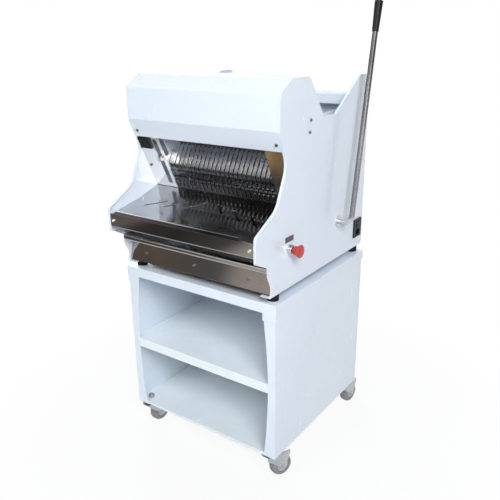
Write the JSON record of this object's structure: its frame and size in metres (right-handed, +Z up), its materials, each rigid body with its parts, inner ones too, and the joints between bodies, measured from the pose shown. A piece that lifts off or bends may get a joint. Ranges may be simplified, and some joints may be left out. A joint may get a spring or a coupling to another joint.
{
  "type": "bread slicer machine",
  "caption": "Counter bread slicer with leaning reciprocating blades, a side hand lever and a slotted discharge tray, standing on an open white steel stand on swivel castors.",
  "frame": {"origin": "on the ground under the middle of the bounding box", "axes": "+Z up, -Y towards the discharge side where the operator stands, +X towards the hand lever"},
  "size_m": [0.6504, 0.7034, 1.4938],
  "materials": {
    "white_paint": "gloss",
    "stainless": "polished",
    "chrome": "polished",
    "zinc": "zinc plated",
    "grey_tyre": "satin",
    "black_rubber": "matte",
    "black_plastic": "matte",
    "red_plastic": "gloss",
    "alloy": "satin",
    "cast_iron": "painted",
    "motor_paint": "painted",
    "guide_plastic": "matte",
    "blade_steel": "ground",
    "screw_steel": "satin"
  },
  "bodies": {
    "frame": {"stand_lid": "white_paint", "stand_side_left": "white_paint", "stand_side_right": "white_paint", "stand_back": "white_paint", "stand_shelf": "white_paint", "stand_floor": "white_paint", "side_panel_left": "white_paint", "side_panel_right": "white_paint", "rear_cover": "white_paint", "front_hood": "white_paint", "chute_front_wall": "white_paint", "channel_wall_left": "white_paint", "channel_wall_right": "white_paint", "castor_heads": "zinc", "castor_bolts": "zinc", "base_pan": "zinc", "machine_feet": "black_rubber", "drive_belt": "black_rubber", "wall_spacers": "stainless", "bread_bed": "stainless", "outfeed_comb": "stainless", "guard_plate_left": "stainless", "guard_plate_right": "stainless", "discharge_tray": "stainless", "front_fascia": "stainless", "drawer_runners": "stainless", "guard_switch": "black_plastic", "power_inlet": "black_plastic", "stop_body": "alloy", "frame_guides": "guide_plastic", "shaft_bearings": "cast_iron", "motor": "motor_paint", "lever_bearings": "chrome", "cover_screws": "screw_steel"},
    "lever": {"lever_shaft": "stainless", "lever_arms": "alloy", "lever_bar": "chrome", "lever_grip": "black_plastic"},
    "pusher": {"pusher": "alloy"},
    "crank": {"eccentric_shaft": "stainless", "crank_pulley": "cast_iron"},
    "motor_rotor": {"motor_pulley": "cast_iron"},
    "front_blades": {"blade_frame_front": "alloy", "blades_front": "blade_steel"},
    "back_blades": {"blade_frame_back": "alloy", "blades_back": "blade_steel"},
    "hold_down": {"hold_down_comb": "stainless", "hold_down_knob": "stainless"},
    "drawer": {"crumb_drawer": "stainless", "drawer_screws": "screw_steel"},
    "stop": {"stop_button": "red_plastic"},
    "rocker": {"power_rocker": "black_plastic"},
    "fork_front_right": {"castor_fork_front_right": "zinc"},
    "wheel_front_right": {"castor_wheel_front_right": "grey_tyre"},
    "fork_front_left": {"castor_fork_front_left": "zinc"},
    "wheel_front_left": {"castor_wheel_front_left": "grey_tyre"},
    "fork_rear_right": {"castor_fork_rear_right": "zinc"},
    "wheel_rear_right": {"castor_wheel_rear_right": "grey_tyre"},
    "fork_rear_left": {"castor_fork_rear_left": "zinc"},
    "wheel_rear_left": {"castor_wheel_rear_left": "grey_tyre"}
  },
  "joints": [
    {"name": "lever_swing", "type": "hinge", "parent": "frame", "child": "lever", "pos_m": [0.26475, 0.13825, 0.793], "axis": [1, 0, 0], "range_deg": [0, 70]},
    {"name": "pusher_slide", "type": "slide", "parent": "frame", "child": "pusher", "axis": [0, -1, 0], "range_m": [0, 0.2242]},
    {"name": "crank_turn", "type": "hinge", "parent": "frame", "child": "crank", "pos_m": [-0.02225, 0.03726, 0.73239], "axis": [1, 0, 0], "range_deg": [-90, 90]},
    {"name": "front_blades_slide", "type": "slide", "parent": "frame", "child": "front_blades", "axis": [0, -0.4226, 0.9063], "range_m": [-0.0101, 0.0101]},
    {"name": "back_blades_slide", "type": "slide", "parent": "frame", "child": "back_blades", "axis": [0, -0.4226, 0.9063], "range_m": [-0.0101, 0.0101]},
    {"name": "motor_spin", "type": "hinge", "parent": "frame", "child": "motor_rotor", "pos_m": [-0.22225, 0.23725, 0.722], "axis": [1, 0, 0], "range_deg": [-181, 181]},
    {"name": "hold_down_slide", "type": "slide", "parent": "frame", "child": "hold_down", "axis": [0, -0.4226, 0.9063], "range_m": [0, 0.06]},
    {"name": "drawer_slide", "type": "slide", "parent": "frame", "child": "drawer", "axis": [0, -1, 0], "range_m": [0, 0.2]},
    {"name": "stop_press", "type": "slide", "parent": "frame", "child": "stop", "axis": [-1, 0, 0], "range_m": [0, 0.005], "stiffness_N_per_m": 1500},
    {"name": "rocker_tilt", "type": "hinge", "parent": "frame", "child": "rocker", "pos_m": [0.26475, 0.28525, 0.747], "axis": [0, 1, 0], "range_deg": [-10, 10]},
    {"name": "swivel_front_right", "type": "hinge", "parent": "frame", "child": "fork_front_right", "pos_m": [0.24575, -0.23575, 0.097], "axis": [0, 0, 1], "continuous": true},
    {"name": "roll_front_right", "type": "hinge", "parent": "fork_front_right", "child": "wheel_front_right", "pos_m": [0.25849, -0.20423, 0.0375], "axis": [0.9272, -0.3746, 0], "continuous": true},
    {"name": "swivel_front_left", "type": "hinge", "parent": "frame", "child": "fork_front_left", "pos_m": [-0.29025, -0.23575, 0.097], "axis": [0, 0, 1], "continuous": true},
    {"name": "roll_front_left", "type": "hinge", "parent": "fork_front_left", "child": "wheel_front_left", "pos_m": [-0.28729, -0.20188, 0.0375], "axis": [0.9962, -0.0872, 0], "continuous": true},
    {"name": "swivel_rear_right", "type": "hinge", "parent": "frame", "child": "fork_rear_right", "pos_m": [0.24575, 0.28025, 0.097], "axis": [0, 0, 1], "continuous": true},
    {"name": "roll_rear_right", "type": "hinge", "parent": "fork_rear_right", "child": "wheel_rear_right", "pos_m": [0.25048, 0.31392, 0.0375], "axis": [0.9903, -0.1392, 0], "continuous": true},
    {"name": "swivel_rear_left", "type": "hinge", "parent": "frame", "child": "fork_rear_left", "pos_m": [-0.29025, 0.28025, 0.097], "axis": [0, 0, 1], "continuous": true},
    {"name": "roll_rear_left", "type": "hinge", "parent": "fork_rear_left", "child": "wheel_rear_left", "pos_m": [-0.28435, 0.31373, 0.0375], "axis": [0.9848, -0.1736, 0], "continuous": true}
  ],
  "couplings": [
    {"joint": "pusher_slide", "follows": "lever_swing", "m_per_rad": 0.1834},
    {"joint": "front_blades_slide", "follows": "crank_turn", "m_per_rad": 0.0063662},
    {"joint": "back_blades_slide", "follows": "crank_turn", "m_per_rad": -0.0063662},
    {"joint": "motor_spin", "follows": "crank_turn", "ratio": 2}
  ]
}
